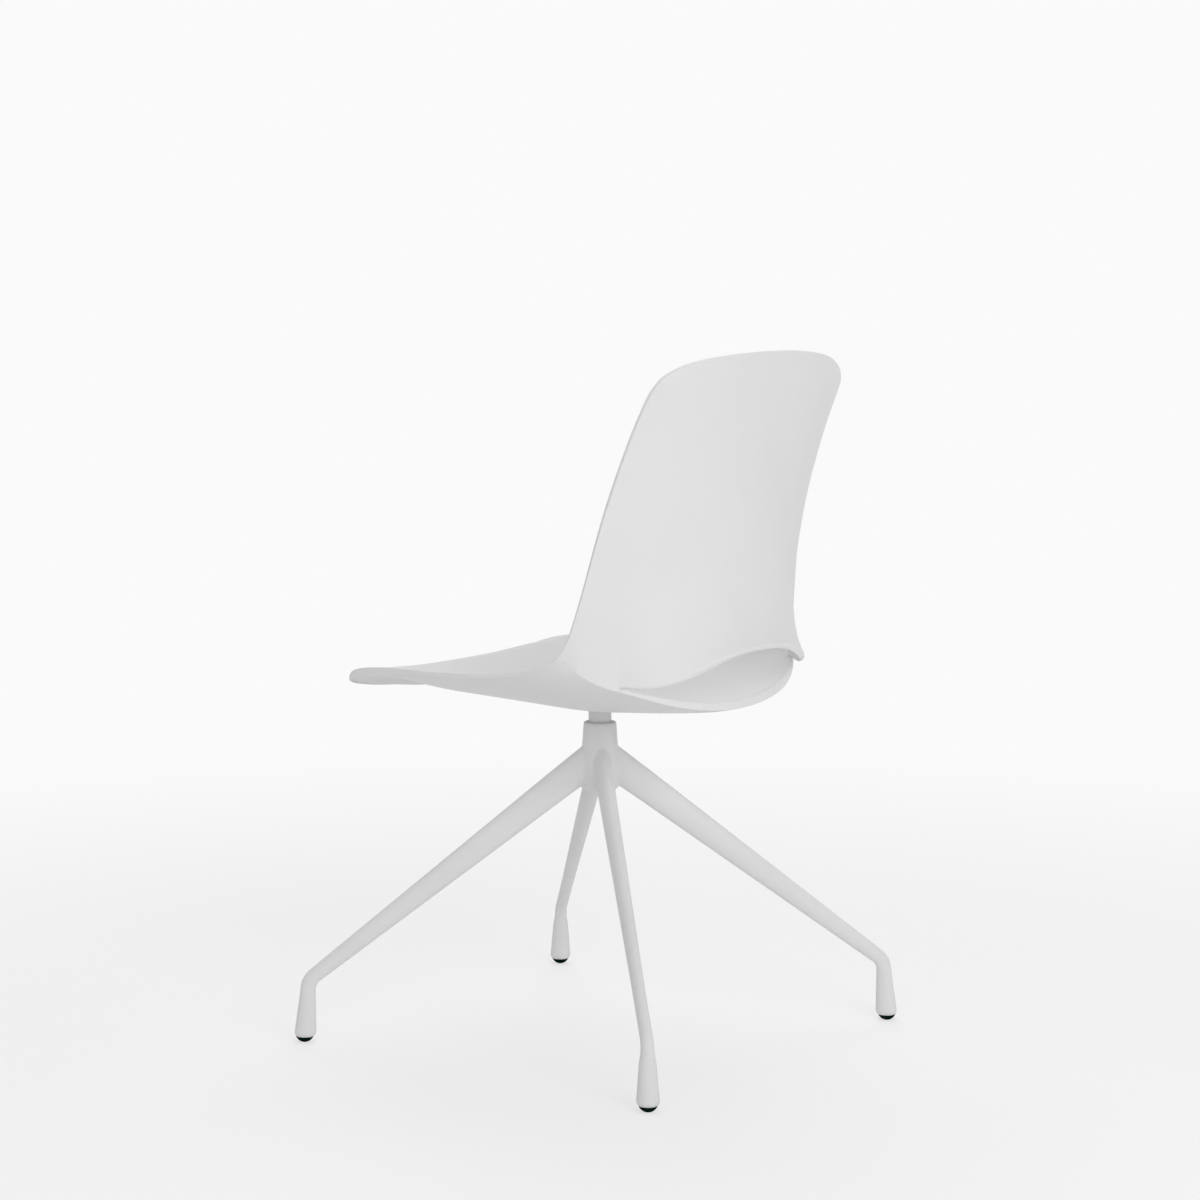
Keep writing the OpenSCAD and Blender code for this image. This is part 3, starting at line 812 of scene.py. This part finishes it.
def select_group(piece, name, chosen=True):
    """Adds the points of a group to the selection, or takes them out of it."""
    piece.vertex_groups.active_index = piece.vertex_groups[name].index
    if chosen:
        bpy.ops.object.vertex_group_select()
    else:
        bpy.ops.object.vertex_group_deselect()


def lay_on_hub(leg, hub, tilt):
    """Runs the end of the tube along its own axis until it meets the hub."""
    bpy.ops.mesh.select_all(action="SELECT")
    turn_about_y(-tilt, (0, 0, 0))
    end_edit()
    leg.rotation_euler.y = tilt
    apply_modifier(
        leg, "SHRINKWRAP", "cope_to_hub", target=hub, vertex_group="cope",
        wrap_method="PROJECT", use_project_z=True,
        use_positive_direction=False, use_negative_direction=True,
    )
    bpy.ops.object.transform_apply(location=False, rotation=True, scale=False)


def add_weld(leg, hub):
    """Spreads the tube's end onto the hub and rounds the corner between them."""
    start_edit(leg, everything=False)
    select_group(leg, "cope")
    bpy.ops.mesh.extrude_region_move()
    bpy.ops.transform.resize(value=WELD_REACH, center_override=LEG_ROOT)
    mark_group(leg, "collar")
    end_edit()
    apply_modifier(
        leg, "SHRINKWRAP", "collar_on_hub", target=hub, vertex_group="collar",
        wrap_method="NEAREST_SURFACEPOINT",
    )
    start_edit(leg, everything=False)
    select_group(leg, "collar")
    bpy.ops.transform.resize(value=WELD_SINK, center_override=(0, 0, LEG_ROOT.z))
    bpy.ops.mesh.edge_face_add()
    bpy.ops.mesh.select_all(action="DESELECT")
    select_group(leg, "cope")
    select_group(leg, "collar", chosen=False)
    bpy.ops.mesh.bevel(offset=WELD_RADIUS, segments=5, affect="EDGES", profile=0.5)
    bpy.ops.mesh.select_all(action="SELECT")
    bpy.ops.mesh.normals_make_consistent(inside=False)
    end_edit()
    leg.vertex_groups.clear()
    smooth_shade(leg, 50)


def turned_copy(piece, name, degrees):
    """A copy of a piece with its own mesh, turned about the swivel axis."""
    twin = piece.copy()
    twin.data = piece.data.copy()
    twin.name = name
    bpy.context.scene.collection.objects.link(twin)
    start_edit(twin)
    angle = -math.radians(degrees)
    bpy.ops.transform.rotate(value=angle, orient_axis="Z", center_override=(0, 0, 0))
    end_edit()
    return twin


def add_base():
    hub = turned_piece("hub_sleeve", HUB_PROFILE, 128)
    smooth_shade(hub, 32)
    finish_piece(hub, "base", "coated_metal", "hub")
    leg = make_leg(hub)
    glide = turned_piece("glide", GLIDE_PROFILE, 64, at=(LEG_GROUND.x, 0), closed=False)
    smooth_shade(glide, 40)
    for name, degrees in LEGS.items():
        tube = turned_copy(leg, "tube_" + name, degrees)
        finish_piece(tube, "base", "coated_metal", "leg_" + name)
        dome = turned_copy(glide, "dome_" + name, degrees)
        finish_piece(dome, "base", "glide_plastic", "glide_" + name)
    bpy.data.objects.remove(leg)
    bpy.data.objects.remove(glide)


def add_stem():
    stem = turned_piece("turned_stem", STEM_PROFILE, 128, closed=False)
    smooth_shade(stem, 32)
    finish_piece(stem, "seat", "coated_metal", "stem")


# Small solids whose edges are rounded where faces meet at more than this angle
SMALL_SHARP_EDGE = math.radians(30)


def dress(node, name, body, slot, radius):
    """Rounds the edges of a small CAD solid in a copy that stands for it."""
    piece = merged_copy(node, name)
    apply_modifier(
        piece, "BEVEL", "rounded_edges", width=radius, segments=2,
        limit_method="ANGLE", angle_limit=SMALL_SHARP_EDGE,
    )
    smooth_shade(piece, 35)
    finish_piece(piece, body, slot, node)


# The studio

def add_camera():
    """The photograph's camera: it faces the swivel axis and looks a little down."""
    turn = math.atan2(CAMERA_AT.y, CAMERA_AT.x) + math.pi / 2
    deselect()
    bpy.ops.object.camera_add(
        location=CAMERA_AT, rotation=(math.pi / 2 - CAMERA_PITCH_DOWN, 0, turn)
    )
    camera = bpy.context.object
    camera.name = "camera"
    camera.data.lens = CAMERA_LENS_MM
    camera.data.sensor_width = SENSOR_MM
    bpy.context.scene.camera = camera


def background_seen(tree, lit, seen):
    """Shows one shader to the camera and in reflections, and lights the scene with the other."""
    path = tree.nodes.new("ShaderNodeLightPath")
    either = path.outputs["Is Camera Ray"]
    for ray in ("Is Glossy Ray", "Is Transmission Ray"):
        add = tree.nodes.new("ShaderNodeMath")
        add.operation = "ADD"
        add.use_clamp = True
        tree.links.new(either, add.inputs[0])
        tree.links.new(path.outputs[ray], add.inputs[1])
        either = add.outputs["Value"]
    mix = tree.nodes.new("ShaderNodeMixShader")
    tree.links.new(either, mix.inputs["Fac"])
    tree.links.new(lit, mix.inputs[1])
    tree.links.new(seen, mix.inputs[2])
    return mix.outputs["Shader"]


def add_floor():
    """A pale floor that keeps the chair's soft shadow and runs out into the backdrop's white."""
    deselect()
    bpy.ops.mesh.primitive_plane_add(size=FLOOR_SIDE)
    floor = bpy.context.object
    floor.name = "floor"
    material, tree, shader = new_material("floor_paint")
    tree.nodes.remove(shader)
    matt = tree.nodes.new("ShaderNodeBsdfDiffuse")
    matt.inputs["Color"].default_value = (*grey(FLOOR_TONE), 1)
    white = tree.nodes.new("ShaderNodeEmission")
    white.inputs["Color"].default_value = (*grey(BACKDROP_TONE), 1)
    place = tree.nodes.new("ShaderNodeTexCoord")
    away = tree.nodes.new("ShaderNodeVectorMath")
    away.operation = "LENGTH"
    fade = tree.nodes.new("ShaderNodeMapRange")
    fade.interpolation_type = "SMOOTHSTEP"
    fade.inputs["From Min"].default_value = SHADOW_FADE[0]
    fade.inputs["From Max"].default_value = SHADOW_FADE[1]
    fade.inputs["To Min"].default_value = SHADOW_SHARE
    fade.inputs["To Max"].default_value = 0
    near = tree.nodes.new("ShaderNodeMixShader")
    tree.links.new(place.outputs["Object"], away.inputs[0])
    tree.links.new(away.outputs["Value"], fade.inputs["Value"])
    tree.links.new(fade.outputs["Result"], near.inputs["Fac"])
    tree.links.new(white.outputs["Emission"], near.inputs[1])
    tree.links.new(matt.outputs["BSDF"], near.inputs[2])
    surface = background_seen(tree, matt.outputs["BSDF"], near.outputs["Shader"])
    tree.links.new(surface, tree.nodes["Material Output"].inputs["Surface"])
    floor.data.materials.append(material)


def add_world():
    """An even white light, with the backdrop's tone where the camera sees past the chair."""
    world = bpy.data.worlds.new("studio")
    bpy.context.scene.world = world
    world.use_nodes = True
    tree = world.node_tree
    fill = tree.nodes["Background"]
    fill.inputs["Color"].default_value = (1, 1, 1, 1)
    fill.inputs["Strength"].default_value = FILL_LIGHT
    white = tree.nodes.new("ShaderNodeBackground")
    white.inputs["Color"].default_value = (*grey(BACKDROP_TONE), 1)
    surface = background_seen(tree, fill.outputs["Background"], white.outputs["Background"])
    tree.links.new(surface, tree.nodes["World Output"].inputs["Surface"])


def add_lamp(name, at, side, power):
    """A soft square lamp aimed at the chair, out of the camera's sight."""
    deselect()
    bpy.ops.object.light_add(type="AREA", location=at)
    lamp = bpy.context.object
    lamp.name = name
    lamp.data.shape = "SQUARE"
    lamp.data.size = side
    lamp.data.energy = power
    lamp.visible_camera = False
    lamp.rotation_euler = (LAMPS_AIM_AT - Vector(at)).to_track_quat("-Z", "Y").to_euler()


add_camera()
add_floor()
add_world()
for name, (at, side, power) in LAMPS.items():
    add_lamp(name, at, side, power)
add_shell()
add_stem()
add_base()
dress("mounting_plate", "plate_under_seat", "seat", "plate_steel", 0.0006)
dress("plate_screws", "screws_of_plate", "seat", "screw_steel", 0.0003)
dress("hub_cap", "cap_under_hub", "base", "cap_plastic", 0.0006)
# Each CAD node has the finish of its slot, also where another piece stands for it
for subpart in frame["record"]["subparts"]:
    paint(nodes[subpart["node"]], subpart["material_slot"])

bpy.context.scene.view_settings.view_transform = "Standard"
